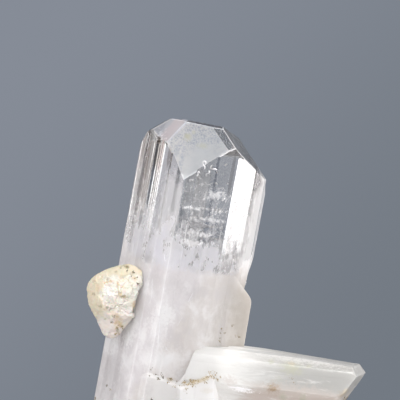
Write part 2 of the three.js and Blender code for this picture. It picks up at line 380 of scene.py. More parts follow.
def growCluster():
    whole = growCrystal(tallCrystal)
    others = [growCrystal(c) for c in (flankCrystal, lyingCrystal, *stubCrystals)]
    others += [growRoot(*lump) for lump in rootLumps["lumps"]]
    for other in others:
        combine(whole, other, "UNION")
        removeObject(other)
        print("  joined", len(whole.data.polygons))
    bm = bmesh.new()
    bm.from_mesh(whole.data)
    cutBeyond(bm, Vector((0, 0, -1)), 0.0)
    bm.transform(Matrix.Scale(mm, 4) @ Matrix.Translation(clusterShift))
    bm.to_mesh(whole.data)
    bm.free()
    whole.name = "danburiteCluster"
    return whole


cluster = growCluster()
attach(cluster, "root")
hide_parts("danburite_cluster")
print("crystals grown:", len(cluster.data.polygons), "faces")


inclusions = {
    "seed": 21,
    "flakeSize": (0.05, 0.13),  # half of a flake, in mm
    "from": 24.0, "to": 47.0,  # the heights they lie between
    "margin": 0.35, "edgeMargin": 0.12,  # how far they stay under the faces
    "cloud": 5000, "clearAt": 38.0, "thickAt": 25.0, "leftRise": 3.5, "rightDrop": 9.0,
    "patchWidth": 2.2, "patchLength": 3.5, "patchHeight": 9.0,
    "stray": 0.012,  # share of the cloud that reaches the clear end
    "threads": 200, "threadStep": 0.12, "threadWobble": 0.02, "threadFlakes": (3, 14),
    "sheaves": 46, "filmShare": 0.5,
    "edgeThreads": 150, "edgeWobble": 0.015, "edgeFlakes": (12, 60),  # close under the right-hand edge
    "wisps": 50, "wispStep": 0.07, "wispFlakes": (5, 26), "wispFilmShare": 0.3,
    # veils across the crystal: height, middle, half widths, flakes
    "veils": [
        (34.2, (0.2, -5.4), (3.9, 2.2), 700), (30.4, (-0.3, -5.6), (3.0, 2.0), 520),
        (32.3, (2.6, -3.6), (2.4, 1.6), 200), (36.6, (2.4, -3.6), (2.2, 1.2), 160),
    ],
    # squiggles just under the front face: x, z, length, way it starts, how much it bends
    "curls": [
        (0.1, 42.8, 2.1, 0.1, 2.3), (1.5, 43.6, 1.8, 4.9, 1.6), (0.9, 41.9, 1.4, 2.6, 2.2),
        (-0.7, 42.0, 1.2, 5.6, 2.6), (0.1, 41.2, 1.6, 0.5, 2.6), (-1.4, 41.0, 1.1, 2.0, 2.4),
        (0.5, 40.3, 0.9, 3.9, 2.2), (-0.5, 39.9, 0.6, 0.9, 3.2), (2.6, 45.2, 0.9, 4.4, 2.2),
        (3.3, 43.8, 0.7, 5.0, 2.6), (2.4, 41.0, 0.7, 1.9, 3.0), (-2.0, 39.3, 0.6, 2.2, 3.0),
        (4.2, 40.9, 0.6, 0.4, 3.0), (3.7, 38.6, 0.7, 5.6, 2.0), (2.1, 42.4, 0.6, 4.4, 3.4),
        (-1.6, 37.9, 0.5, 1.0, 3.0), (0.9, 38.2, 0.6, 3.0, 3.0), (3.1, 37.2, 0.5, 0.2, 3.0),
    ],
    "curlThickness": 0.14, "curlDepth": 0.22,
}


def tallPlanes():
    return sidePlanes(tallCrystal) + [(faceNormal(facing, slope), apex * math.cos(math.radians(slope)))
                                      for facing, slope, apex in tallCrystal["tip"]]


# Flat grains with eight faces each, gathered for one mesh.
class Flakes:
    def __init__(self):
        self.dice, self.planes = random.Random(inclusions["seed"]), tallPlanes()
        self.spots, self.faces, self.films = [], [], []

    def within(self, spot, margin=inclusions["margin"]):
        return all(normal.dot(spot) < reach - margin for normal, reach in self.planes)

    def size(self, share):
        return self.dice.uniform(*inclusions["flakeSize"]) * share

    def add(self, middle, size, film=False):
        self.films += [film] * 8
        turn = Euler([self.dice.uniform(0, 6.28) for _ in range(3)]).to_matrix()
        first = len(self.spots)
        for corner in ((1, 0, 0), (0, 1, 0), (-1, 0, 0), (0, -1, 0), (0, 0, 0.35), (0, 0, -0.35)):
            self.spots.append(middle + turn @ (Vector(corner) * size * self.dice.uniform(0.6, 1.3)))
        for k in range(4):
            after = (k + 1) % 4
            self.faces.append((first + k, first + after, first + 4))
            self.faces.append((first + after, first + k, first + 5))


# Where the tall crystal's front faces lie at x.
def frontDepth(x):
    corners = [Vector(entry[0]) for entry in tallCrystal["section"]]
    for start, end in ((corners[0], corners[1]), (corners[2], corners[3]), (corners[10], corners[0])):
        if start.x <= x <= end.x:
            return start.y + (end.y - start.y) * (x - start.x) / (end.x - start.x)
    return corners[1].y


# The cloud thickens downwards, in patches.
def addCloud(flakes):
    dice = flakes.dice
    placed = 0
    while placed < inclusions["cloud"]:
        x, y = dice.uniform(-9.5, 9.8), dice.uniform(-9.6, 9.6)
        spot = Vector((x, y, dice.uniform(inclusions["from"], inclusions["to"])))
        patch = noise.noise(Vector((spot.x / inclusions["patchWidth"], spot.y / inclusions["patchWidth"],
                                    spot.z / inclusions["patchLength"])))
        rise = inclusions["leftRise"] * smoothStep(-1.0, -4.0, spot.x) + inclusions["patchHeight"] * patch
        rise -= inclusions["rightDrop"] * smoothStep(3.6, 5.6, spot.x)
        thick = smoothStep(inclusions["clearAt"], inclusions["thickAt"], spot.z - rise)
        thick *= 0.25 + 0.75 * smoothStep(2.0, -4.0, spot.y)
        if dice.random() < inclusions["stray"] + thick ** 1.6 and flakes.within(spot):
            flakes.add(spot, flakes.size(0.8 + 0.5 * thick))
            placed += 1


# A thread climbs along the crystal from its start.
def addThread(flakes, start, count, wobble, margin, share, film=False):
    for k in range(count):
        aside = flakes.dice.gauss(0, wobble), flakes.dice.gauss(0, wobble)
        spot = start + Vector((*aside, k * inclusions["threadStep"]))
        if flakes.within(spot, margin):
            flakes.add(spot, flakes.size(share), film)


# Threads stand in sheaves, most of them low down.
def addSheaves(flakes):
    dice = flakes.dice
    low, high = inclusions["from"], inclusions["to"]
    sheaves = [(dice.uniform(-6, 7), dice.uniform(-9, 6), low + (high - low) * dice.random() ** 2.2)
               for _ in range(inclusions["sheaves"])]
    for _ in range(inclusions["threads"]):
        x, y, z = dice.choice(sheaves)
        start = Vector((dice.gauss(x, 0.8), dice.gauss(y, 0.8), dice.gauss(z, 1.2)))
        film = dice.random() < inclusions["filmShare"]
        count = dice.randint(*inclusions["threadFlakes"])
        addThread(flakes, start, count, inclusions["threadWobble"], inclusions["margin"], 0.75, film)


# Fine threads close under the right-hand faces.
def addEdgeThreads(flakes):
    dice = flakes.dice
    edges = [Vector(tallCrystal["section"][k][0]) for k in (2, 3, 4)]
    for _ in range(inclusions["edgeThreads"]):
        share = dice.uniform(0.72, 1.35)
        near = edges[0].lerp(edges[1], share) if share < 1 else edges[1].lerp(edges[2], (share - 1) * 2)
        start = (near * dice.uniform(0.945, 0.975)).to_3d()
        start.z = dice.uniform(inclusions["from"], inclusions["to"] - 4)
        count = dice.randint(*inclusions["edgeFlakes"])
        addThread(flakes, start, count, inclusions["edgeWobble"], inclusions["edgeMargin"], 0.8)


# Wisps lie across the crystal, bent a little.
def addWisps(flakes):
    dice = flakes.dice
    for _ in range(inclusions["wisps"]):
        start = Vector((dice.uniform(-2.2, 3.2), dice.uniform(-7.6, -3.0), 41 - 10 * dice.random() ** 0.9))
        bend, film = dice.uniform(0.1, 0.35), dice.random() < inclusions["wispFilmShare"]
        for k in range(dice.randint(*inclusions["wispFlakes"])):
            spot = start + Vector((k * inclusions["wispStep"], 0.03 * k, bend * math.sin(0.4 * k + start.x)))
            if flakes.within(spot):
                flakes.add(spot + Vector((0, 0, dice.gauss(0, 0.04))), flakes.size(0.8), film)


def addVeils(flakes):
    dice = flakes.dice
    for height, (midX, midY), (halfX, halfY), count in inclusions["veils"]:
        for _ in range(count):
            x, y = midX + halfX * dice.gauss(0, 0.5), midY + halfY * dice.gauss(0, 0.5)
            z = height + 0.35 * noise.noise(Vector((x / 1.5, y / 1.5, height))) + dice.gauss(0, 0.05)
            if flakes.within(Vector((x, y, z))):
                flakes.add(Vector((x, y, z)), flakes.size(1.1), dice.random() < inclusions["filmShare"])


def growInclusions():
    flakes = Flakes()
    for addKind in (addCloud, addSheaves, addWisps, addEdgeThreads, addVeils):
        addKind(flakes)
    for x, z, length, turn, bend in inclusions["curls"]:
        addCurl(flakes, Vector((x, frontDepth(x) + inclusions["curlDepth"], z)), length, turn, bend)
    mesh = bpy.data.meshes.new("inclusions")
    place = Matrix.Scale(mm, 4) @ Matrix.Translation(clusterShift) @ placement(tallCrystal)
    mesh.from_pydata([place @ spot for spot in flakes.spots], [], flakes.faces)
    for face, film in zip(mesh.polygons, flakes.films):
        face.material_index = int(film)
    return addObject("inclusions", mesh)


# A squiggle is a bent tube that tapers to both ends.
def addCurl(flakes, spine, length, turn, bend):
    steps, sides = 18, 5
    first = len(flakes.spots)
    for i in range(steps + 1):
        along = i / steps
        angle = turn + bend * math.sin(4.2 * along + turn)
        ahead = Vector((math.cos(angle), 0, math.sin(angle)))
        spine = spine + ahead * length / steps
        thick = inclusions["curlThickness"] * (0.2 + math.sin(math.pi * along) ** 0.7)
        thick *= 0.8 + 0.3 * math.sin(9 * along)
        aside = Vector((-ahead.z, 0, ahead.x))
        for k in range(sides):
            side = 2 * math.pi * k / sides
            flakes.spots.append(spine + (aside * math.cos(side) + Vector((0, 1, 0)) * math.sin(side)) * thick)
    for i in range(steps):
        for k in range(sides):
            after = (k + 1) % sides
            a, b = first + i * sides, first + (i + 1) * sides
            flakes.faces.append((a + k, a + after, b + after, b + k))
    flakes.faces.append([first + k for k in range(sides)][::-1])
    flakes.faces.append([first + steps * sides + k for k in range(sides)])
    flakes.films += [False] * (steps * sides + 2)


# Healed cracks and fluid bubbles, caught as the crystal grew: white flecks that scatter light.
def makeFlecks():
    material, tree, place = newMaterial("healed cracks and bubbles, grown in")
    tone = addNode(tree, "TexNoise", {"Vector": place, "Scale": 400, "Detail": 2})
    colour = addNode(tree, "Mix", {0: tone, 6: toLinear("#FFFFFF"), 7: toLinear("#F1F0F4")}, data_type="RGBA")
    surface = addNode(tree, "BsdfPrincipled", {"Base Color": colour, "Roughness": 0.45, "IOR": 1.5})
    addNode(tree, "OutputMaterial", {"Surface": surface})
    return material


# Thin films of air in cracks: light is thrown back from them whole, so they glint like silver.
def makeFilms():
    material, tree, place = newMaterial("air films in cracks, grown in")
    tone = addNode(tree, "TexNoise", {"Vector": place, "Scale": 900, "Detail": 2})
    colour = addNode(tree, "Mix", {0: tone, 6: toLinear("#FFFFFF"), 7: toLinear("#EEF1F6")}, data_type="RGBA")
    dull = addNode(tree, "MapRange", {"Value": tone, "To Min": 0.2, "To Max": 0.45})
    surface = addNode(tree, "BsdfPrincipled", {"Base Color": colour, "Roughness": dull, "Metallic": 1.0})
    addNode(tree, "OutputMaterial", {"Surface": surface})
    return material


inclusionFlakes = growInclusions()
inclusionFlakes.data.materials.append(makeFlecks())
inclusionFlakes.data.materials.append(makeFilms())
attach(inclusionFlakes, "root")
print("inclusions grown:", len(inclusionFlakes.data.polygons), "faces")


matrixKnob = {
    "middle": (-5.9, -6.9, 21.2),
    "outline": [  # seen from the front, as x and z round the middle
        (4.9, 4.2), (2.6, 5.5), (0.7, 5.25), (-1.35, 4.5), (-3.45, 3.0), (-3.98, 0.55),
        (-3.3, -1.6), (-2.25, -3.65), (-1.3, -5.2), (0.5, -5.5), (2.6, -2.9), (4.0, 1.2),
    ],
    "halfDepth": 3.7,
    "slant": 0.58,
    "detail": 7,
    "footThinness": 0.45,  # how much less it stands out at its lower end
    # where it broke flat: the way each face looks, and how far out it lies
    "breaks": [
        ((-0.30, -0.92, 0.20), 3.4), ((-0.45, -0.60, 0.62), 3.7), ((-0.90, -0.42, 0.10), 2.75),
        ((-0.55, -0.82, -0.20), 2.75), ((0.05, -0.98, -0.12), 3.5), ((0.22, -0.86, 0.34), 4.3),
        ((0.1, 0.95, 0.3), 3.2), ((-0.6, 0.7, -0.4), 3.1),
    ],
    "flatness": 0.9,  # share of what stands out past a break that is missing
    # size and height of its waves, and of those that fray the rim between smooth and rough
    "waves": [(2.1, 0.22), (0.9, 0.1), (0.4, 0.05), (0.18, 0.02)], "rimWaves": [(1.7, 0.9), (0.5, 0.25)],
    "skin": 0.22,  # how deep the rough middle lies under the smooth rim
    # size, tilt and cleft of the broken grains
    "blocks": [(1.7, 0.5, 0.12), (0.6, 0.5, 0.06), (0.25, 0.45, 0.03)],
    "cleftWidth": 0.16, "pitDepth": 0.3,
    "seat": 0.03, "seatReach": 9,  # how near it comes to the crystal, and how far the face lies from its axis
}


# How far out the outline lies at each angle: a smooth curve through its points, looked up in a table.
def knobReach(outline):
    steps, entries = 24, 720
    ring = []
    for i in range(len(outline)):
        p = [Vector(outline[(i + k - 1) % len(outline)]) for k in range(4)]
        for s in range(steps):
            t = s / steps
            spot = 0.5 * (2 * p[1] + (p[2] - p[0]) * t + (2 * p[0] - 5 * p[1] + 4 * p[2] - p[3]) * t * t
                          + (3 * p[1] - p[0] - 3 * p[2] + p[3]) * t ** 3)
            ring.append((math.atan2(spot.y, spot.x), spot.length))
    ring.sort()
    angles = [2 * math.pi * n / entries - math.pi for n in range(entries + 1)]
    table = [min(ring, key=lambda spot: abs(spot[0] - angle))[1] for angle in angles]
    return lambda angle: table[round((angle + math.pi) / (2 * math.pi) * entries)]


# The surface of one grain of a crumbly break: a tilted flat with a cleft round it.
def brokenGrain(spot, size, tilt, cleft):
    distances, centres = noise.voronoi(spot / size)
    lean = noise.cell_vector(centres[0])
    flat = (spot / size - centres[0]).dot(lean) * tilt * size * 0.6
    return flat - cleft * (1 - smoothStep(0.0, matrixKnob["cleftWidth"], distances[1] - distances[0]))


def growKnob():
    reach = knobReach(matrixKnob["outline"])
    middle = Vector(matrixKnob["middle"])
    bm = bmesh.new()
    bmesh.ops.create_icosphere(bm, subdivisions=matrixKnob["detail"], radius=1)
    crumb = bm.verts.layers.float.new("crumb")
    pit = bm.verts.layers.float.new("pit")
    for vert in bm.verts:
        outward = vert.co.normalized()
        across = reach(math.atan2(outward.z, outward.x))
        thinness = matrixKnob["footThinness"] * smoothStep(0.0, -4.8, outward.z * across)
        depth = matrixKnob["halfDepth"] * (1 - thinness)
        spot = Vector((outward.x * across, outward.y * depth, outward.z * across))
        spot.y -= matrixKnob["slant"] * spot.x
        for way, reachOut in matrixKnob["breaks"]:
            way = Vector(way).normalized()
            spot -= way * matrixKnob["flatness"] * max(0, spot.dot(way) - reachOut)
        # the rough middle, towards the crystal, and the smooth rim on the left and along the top
        rim = roughness(spot, matrixKnob["rimWaves"])
        above = spot.z + 0.45 * spot.x + rim * 0.8
        rough = smoothStep(-1.5, -1.15, spot.x + 0.1 * spot.z + rim)
        rough *= smoothStep(4.3, 3.9, spot.z + rim * 0.6) * smoothStep(-1.5, -1.1, above)
        sunk = rough * smoothStep(-1.2, 1.2, above)
        vert[crumb] = rough
        spot += middle
        rise = roughness(spot, matrixKnob["waves"]) - matrixKnob["skin"] * sunk
        crumbs = sum(brokenGrain(spot, *grain) for grain in matrixKnob["blocks"]) * (0.2 + 0.8 * rough)
        vert[pit] = min(1, max(0, -crumbs / matrixKnob["pitDepth"]))
        vert.co = spot + outward * (rise + crumbs)
    knob = toObject(bm, "matrixKnob")
    # a slightly larger copy of the tall crystal, with plain faces, cuts the knob's seat
    larger = 1 + matrixKnob["seat"] / matrixKnob["seatReach"]
    plainFaces = [(Vector(corner) * larger, (), (9, 0)) for corner, _, _ in tallCrystal["section"]]
    swollen = growCrystal({**tallCrystal, "name": "seat", "section": plainFaces})
    combine(knob, swollen, "DIFFERENCE")
    removeObject(swollen)
    knob.data.transform(Matrix.Scale(mm, 4) @ Matrix.Translation(clusterShift))
    return knob


knob = growKnob()
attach(knob, "root")
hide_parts("matrix_knob")
for face in knob.data.polygons:
    face.use_smooth = True
print("knob grown:", len(knob.data.polygons), "faces")


danburite = {
    "ior": 1.63,  # between 1.630 and 1.636 for danburite
    "clear": "#FDFDFD", "lavender": "#E5E2E3", "beige": "#E3DFDC", "white": "#FDFCFC", "grey": "#D6D3D4",
    "lyingWhite": "#E4E4E1", "lyingGrey": "#AFAFAB", "lyingPink": "#C3B9B1", "umber": "#A8927A",
    "moss": "#B4B5A2", "flankTone": "#BAB4AC", "stubTone": "#F3F2F0", "frost": "#DDE1E4", "blue": "#8595B0",
    "sugar": "#F4F7F8", "yellow": "#DADBAE", "ash": "#D5DAE2", "blush": "#E6E0E4", "stain": "#CDBE9E",
    # the dark brown, rose and dark grey on the next line are the colours of the painted reflections in the
    # clear part
    "cloud": "#E6E6EB", "reflectedUmber": "#74604F", "rose": "#D2B9B2", "reflectedGrey": "#77787E", "depths": "#EDEBEF",
    "clearAbove": 36.0, "milkyBelow": 27.0,  # along the tall crystal, in mm
    # how much higher the milk comes on the left and on the right, and how much lower behind
    "leftRise": 1.5, "rightRise": -4.0, "backDrop": 3.0,
    "milkyClearness": 0.28, "blushAt": 30.1, "absorption": 6.0,
    "gloss": 0.05, "milkyDullness": 0.5, "frostDullness": 0.34,
    "scatterDepth": 4.0, "lineDepth": 0.02,  # in mm
    # y and half depth of the marks, in mm
    "throughout": (0, 1000), "reflectionDepth": (-6, 10), "lyingDepth": (-7, 9), "hazeDepth": (-8, 8),
    "stainDepth": (-11, 6),
}
# middle x and z in the frame, half length, half width, turn, strength
danburiteStains = [
    (-4.1, 9.4, 2.7, 0.5, 21, 0.75), (-8.5, 9.5, 0.7, 0.4, -30, 0.6), (-0.8, 16.6, 0.3, 1.3, 0, 0.45),
    (1.5, 15.9, 0.3, 0.8, 0, 0.5), (9.6, 12.0, 0.9, 0.4, -7, 0.35), (17.6, 7.9, 1.1, 0.5, 55, 0.6),
    (-3.0, 7.9, 1.2, 0.7, 0, 0.2),
]
# middle x and z along the tall crystal, half sizes, tone, strength
milkAndPaintedLightMarks = [
    (-1.2, 20.5, 1.4, 1.8, "white", 0.7), (-0.3, 13.0, 3.6, 3.0, "white", 0.45),
    # painted light: the full-strength white marks at (-9.0, 13.4) and (-6.6, 16.8) whiten the crystal below
    # and right of the knob, where the knob's shadow falls
    (-7.7, 9.4, 1.4, 3.6, "grey", 0.9), (-9.0, 13.4, 1.7, 1.9, "white", 1.0),
    (-6.6, 16.8, 1.3, 3.2, "white", 1.0), (-2.5, 25.2, 3.6, 1.6, "grey", 0.45),
    (2.4, 24.2, 2.2, 1.3, "grey", 0.4), (-2.1, 18.8, 1.7, 3.2, "white", 0.6),
    (-4.2, 16.5, 0.5, 3.0, "white", 0.6),
]
# the same along the lying crystal, with a painted highlight and a painted shadow among them
lyingMarksAndPaintedLight = [
    (5.5, 19.0, 2.8, 6.0, "lyingPink", 0.7), (4.2, 14.8, 1.1, 1.2, "umber", 0.6),
    (4.3, 14.8, 0.5, 0.5, "umber", 1.0), (0.9, 17.2, 1.2, 2.2, "moss", 0.8),
    (0.4, 14.0, 0.5, 0.6, "moss", 0.7), (0.3, 19.6, 0.45, 0.6, "moss", 0.7),
    (5.4, 16.4, 0.8, 0.6, "moss", 0.7), (5.1, 19.4, 0.9, 0.6, "moss", 0.7),
    # painted highlight: the narrow white mark at (5.0, 10.0) is a bright line along a small step near the
    # ridge
    (2.6, 15.6, 0.8, 0.5, "moss", 0.3), (5.0, 10.0, 0.5, 2.2, "white", 1.0),
    (6.8, 4.6, 1.6, 3.6, "white", 0.4), (3.9, 25.2, 0.8, 0.8, "umber", 0.45),
    # painted shadow: the pink mark at (3.9, 8.2) darkens the upper face where the seam's shadow falls
    (-0.5, 20.0, 1.0, 9.0, "lyingWhite", 0.6), (3.9, 8.2, 0.9, 1.5, "lyingPink", 0.5),
]
# painted reflections in the clear part of the tall crystal: dark and rose bands and patches that stand for
# the darker room seen in and through its faces
paintedReflections = [
    (-9.35, 41.0, 0.35, 6.5, "rose", 0.5), (-8.1, 42.4, 0.36, 5.2, "reflectedUmber", 1.0),
    (-7.1, 43.4, 0.4, 3.2, "reflectedUmber", 0.8), (-6.45, 43.4, 0.35, 3.2, "rose", 0.8),
    (-7.75, 33.2, 0.3, 1.9, "reflectedGrey", 1.0), (4.45, 42.4, 0.32, 4.4, "reflectedGrey", 0.8),
    (-5.2, 43.9, 0.35, 2.4, "reflectedUmber", 0.6), (-0.8, 41.6, 1.9, 1.6, "reflectedGrey", 0.45),
    (-1.2, 38.6, 1.0, 1.6, "reflectedGrey", 0.5), (2.2, 41.9, 1.9, 2.2, "reflectedGrey", 0.2),
]
etchMarks = [
    (-3.3, 43.8, 0.45, 2.2, "blue", 1.0), (-4.2, 44.6, 0.6, 1.2, "blue", 0.45),
    (1.1, 47.3, 1.2, 0.9, "blue", 0.45), (-3.0, 46.8, 0.75, 0.7, "yellow", 0.9),
    (-0.6, 46.0, 1.0, 0.5, "yellow", 0.7), (-2.3, 47.6, 0.4, 0.4, "yellow", 0.6),
]
# middle x and z along the tall crystal, half sizes, strength: clouds on its front face
hazeMarks = [
    (2.9, 39.1, 2.4, 0.9, 0.5), (-0.6, 36.9, 2.0, 0.35, 0.6), (1.8, 35.3, 3.0, 0.45, 0.55),
    (0.4, 33.2, 1.6, 0.7, 0.45), (3.2, 36.6, 1.0, 0.6, 0.4), (0.6, 31.6, 3.4, 0.7, 0.55),
    (-7.2, 46.0, 1.0, 1.2, 0.8), (-9.2, 46.6, 0.8, 0.9, 0.7), (-8.7, 33.4, 1.3, 3.2, 0.7),
    (2.2, 33.0, 1.3, 0.6, 0.7), (6.6, 29.6, 1.7, 0.9, 0.6),
]


def localPlace(tree, objectPlace, crystal):
    at = (Vector(crystal["at"]) + clusterShift) * mm
    turns = placement(crystal).to_euler()
    return addNode(tree, "Mapping", {"Vector": objectPlace, "Location": at, "Rotation": turns,
                                     "Scale": (mm, mm, mm)}, vector_type="TEXTURE")


# A value plus several others, each times its weight.
def addUp(tree, value, others):
    for other, weight in others:
        value = addNode(tree, "Math", {0: other, 1: weight, 2: value}, operation="MULTIPLY_ADD")
    return value


# A value joined with several others in turn.
def joinAll(tree, value, others, operation):
    for other in others:
        value = addNode(tree, "Math", {0: value, 1: other}, operation=operation)
    return value


# A soft step from start to end of a value, made ragged by noises.
def softStep(tree, value, start, end, grains, low=0.0, high=1.0):
    return addNode(tree, "MapRange", {"Value": addUp(tree, value, grains), "From Min": start, "From Max": end,
                                      "To Min": low, "To Max": high}, interpolation_type="SMOOTHSTEP")


# Lays a tone over a colour where a soft step comes up, within masks.
def layTone(tree, colour, tone, value, start, end, grains=(), high=1.0, masks=()):
    share = joinAll(tree, softStep(tree, value, start, end, grains, high=high), masks, "MULTIPLY")
    return addNode(tree, "Mix", {0: share, 6: colour, 7: toLinear(tone)}, data_type="RGBA")


# How much of an oval mark shows. Its ragged edge is given as the reach where it ends and where it is whole.
def ovalShare(tree, place, middle, halves, turn, grains, edge, strength):
    oval = addNode(tree, "Mapping", {"Vector": place, "Location": middle, "Scale": halves,
                                     "Rotation": (0, math.radians(-turn), 0)}, vector_type="TEXTURE")
    reach = addNode(tree, "VectorMath", {0: oval}, operation="LENGTH")
    return softStep(tree, reach, *edge, grains, high=strength)


def paintMarks(tree, colour, marks, palette, place, depth, grains, edge):
    for midX, midZ, halfX, halfZ, tone, strength in marks:
        middle, halves = (midX, depth[0], midZ), (halfX, depth[1], halfZ)
        share = ovalShare(tree, place, middle, halves, 0, grains, edge, strength)
        colour = addNode(tree, "Mix", {0: share, 6: colour, 7: toLinear(palette[tone])}, data_type="RGBA")
    return colour


# Grain in mm: cloudy patches, streaks and fine threads drawn out along the crystal, flecks and mottles.
def growthGrains(tree, tall, lying):
    drawnOut = addNode(tree, "Mapping", {"Vector": tall, "Scale": (1, 1, 0.09)})
    halfDrawn = addNode(tree, "Mapping", {"Vector": tall, "Scale": (1, 1, 0.3)})
    lyingDrawn = addNode(tree, "Mapping", {"Vector": lying, "Scale": (1, 1, 0.22)})
    kinds = {  # place, scale, detail, roughness, distortion
        "patches": (tall, 0.3, 5, 0.62, 0), "flecks": (tall, 2.2, 3, 0.72, 0),
        "wisps": (tall, 0.3, 5, 0.6, 0.3), "mottle": (tall, 0.8, 5, 0.7, 0.6),
        "etching": (tall, 4.2, 4, 0.8, 0), "gaps": (halfDrawn, 2.0, 6, 0.78, 0),
        "streaks": (drawnOut, 1.5, 4, 0.6, 0), "threads": (drawnOut, 4.2, 2, 0.5, 0),
        "lying": (lyingDrawn, 0.75, 6, 0.68, 0.5),
    }
    return {name: addNode(tree, "TexNoise", {"Vector": place, "Scale": scale, "Detail": detail,
                                             "Roughness": rough, "Distortion": bent})
            for name, (place, scale, detail, rough, bent) in kinds.items()}


# How milky it is, and how much of that is the whole milk of the foot, which has a ragged top.
def milkShares(tree, grains, axes, masks):
    patches, flecks = grains["patches"], grains["flecks"]
    left, right = [addNode(tree, "MapRange", {"Value": axes["X"], "From Min": start, "From Max": end,
                                              "To Max": -danburite[rise]}, interpolation_type="SMOOTHSTEP")
                   for start, end, rise in ((-1.6, -3.4, "leftRise"), (4.4, 5.4, "rightRise"))]
    ahead = addNode(tree, "MapRange", {"Value": axes["Y"], "From Min": 2.0, "From Max": -2.0},
                    interpolation_type="SMOOTHSTEP")
    behind = addNode(tree, "MapRange", {"Value": ahead, "To Min": danburite["backDrop"], "To Max": 0.0})
    level = joinAll(tree, left, (right, behind, axes["Z"]), "ADD")
    ragged = [(patches, 12.0), (grains["streaks"], 7.0), (flecks, 4.0)]
    added = 0.5 * sum(height for _, height in ragged)
    milk = softStep(tree, level, danburite["clearAbove"] + added, danburite["milkyBelow"] + added, ragged)
    # the threads stay clear in it, down to the whole milk
    gaps = softStep(tree, grains["gaps"], 1.42, 1.24, [(patches, 1.5)], low=0.5)
    milk = addNode(tree, "Math", {0: milk, 1: gaps}, operation="MULTIPLY")
    away = addNode(tree, "Math", {0: 1.0, 1: ahead}, operation="SUBTRACT")
    wander = addNode(tree, "MapRange", {"Value": patches, "To Min": 6.5, "To Max": -9.5}, clamp=False)
    wander = addNode(tree, "Math", {0: wander, 1: away}, operation="MULTIPLY")
    wander = addNode(tree, "Math", {0: flecks, 1: 3.0, 2: wander}, operation="MULTIPLY_ADD")
    foot = addNode(tree, "Math", {0: wander, 1: axes["Z"]}, operation="ADD")
    foot = addNode(tree, "MapRange", {"Value": foot, "From Min": 29.7, "From Max": 28.3},
                   interpolation_type="SMOOTHSTEP")
    others = masks["flank"]
    for name in ("lying", "stub", "root"):
        others = addNode(tree, "Math", {0: others, 1: masks[name]}, operation="ADD", use_clamp=True)
    return joinAll(tree, milk, (foot, others), "MAXIMUM"), foot


# The tall crystal: clear, or lavender to beige milk with whiter wisps, and beige towards its right flank.
def tallColour(tree, grains, tall, axes, milk, foot):
    patches = grains["patches"]
    side = addNode(tree, "VectorMath", {0: tall, 1: (1, 0, -0.39)}, operation="DOT_PRODUCT")
    colour = layTone(tree, toLinear(danburite["lavender"]), danburite["beige"], side, -6.3, -4.2,
                     [(patches, 4.0)])
    colour = layTone(tree, colour, danburite["white"], grains["wisps"], 0.44, 0.72, high=0.8)
    colour = layTone(tree, colour, danburite["grey"], patches, 0.5, 0.36, high=0.4)
    colour = paintMarks(tree, colour, milkAndPaintedLightMarks, danburite, tall, danburite["throughout"],
                        [(grains["flecks"], 2.4)], (2.4, 1.5))
    # above the foot the milk is whiter and cooler
    for share, tone in ((foot, "cloud"), (milk, "clear")):
        colour = addNode(tree, "Mix", {0: share, 6: toLinear(danburite[tone]), 7: colour}, data_type="RGBA")
    lowDown = softStep(tree, axes["Z"], 31.0, 27.0, [(patches, 5.0)])
    colour = layTone(tree, colour, danburite["flankTone"], axes["X"], 9.0, 15.5, [(patches, 9.0)],
                     masks=(foot, lowDown))
    # painted reflections: dark and rose bands and patches laid over the clear part
    return paintMarks(tree, colour, paintedReflections, danburite, tall, danburite["reflectionDepth"], (), (1.0, 0.6))


# The lying crystal: white at its left end, greyer to the right, pinkish below, streaked along its length.
def lyingColour(tree, grains, lying, axes):
    grain = grains["lying"]
    colour = layTone(tree, toLinear(danburite["lyingWhite"]), danburite["lyingGrey"], axes["Z"], 14.0, 27.0,
                     [(grain, 16.0)])
    outer = softStep(tree, axes["Z"], 15.5, 21.0, [(grain, 16.0)], low=0.15)
    colour = layTone(tree, colour, danburite["lyingPink"], axes["X"], 4.6, 6.8, [(grain, 3.0)], masks=[outer])
    colour = layTone(tree, colour, danburite["lyingWhite"], grain, 0.56, 0.66, high=0.55)
    return paintMarks(tree, colour, lyingMarksAndPaintedLight, danburite, lying, danburite["lyingDepth"],
                      [(grains["flecks"], 3.0)], (2.7, 1.5))


# Clay and iron that seeped in: soft stains, each an oval on the side that faces the viewer.
def stainShare(tree, place):
    smudge = addNode(tree, "TexNoise", {"Vector": place, "Scale": 1700, "Detail": 5, "Roughness": 0.75})
    midY, halfY = danburite["stainDepth"]
    shares = []
    for midX, midZ, halfLength, halfWidth, turn, strength in danburiteStains:
        middle, halves = Vector((midX, midY, midZ)) * mm, Vector((halfLength, halfY, halfWidth)) * mm
        shares.append(ovalShare(tree, place, middle, halves, turn, [(smudge, 2.2)], (2.1, 1.3), strength))
    return joinAll(tree, shares[0], shares[1:], "MAXIMUM")


# Etched tip faces: frosty blue, sugary up and to the left.
def etchedColour(tree, grains, tall):
    sugary = addNode(tree, "VectorMath", {0: tall, 1: (-0.35, 0, 0.94)}, operation="DOT_PRODUCT")
    sugary = softStep(tree, sugary, 44.6, 47.2, [(grains["mottle"], 5.0)])
    sugar = addNode(tree, "MapRange", {"Value": grains["etching"], "From Min": 0.42, "From Max": 0.56})
    colour = addNode(tree, "Mix", {0: sugar, 6: toLinear(danburite["blue"]), 7: toLinear(danburite["sugar"])},
                     data_type="RGBA")
    colour = addNode(tree, "Mix", {0: sugary, 6: toLinear(danburite["frost"]), 7: colour}, data_type="RGBA")
    return paintMarks(tree, colour, etchMarks, danburite, tall, danburite["throughout"],
                      [(grains["etching"], 3.0)], (2.6, 1.7))


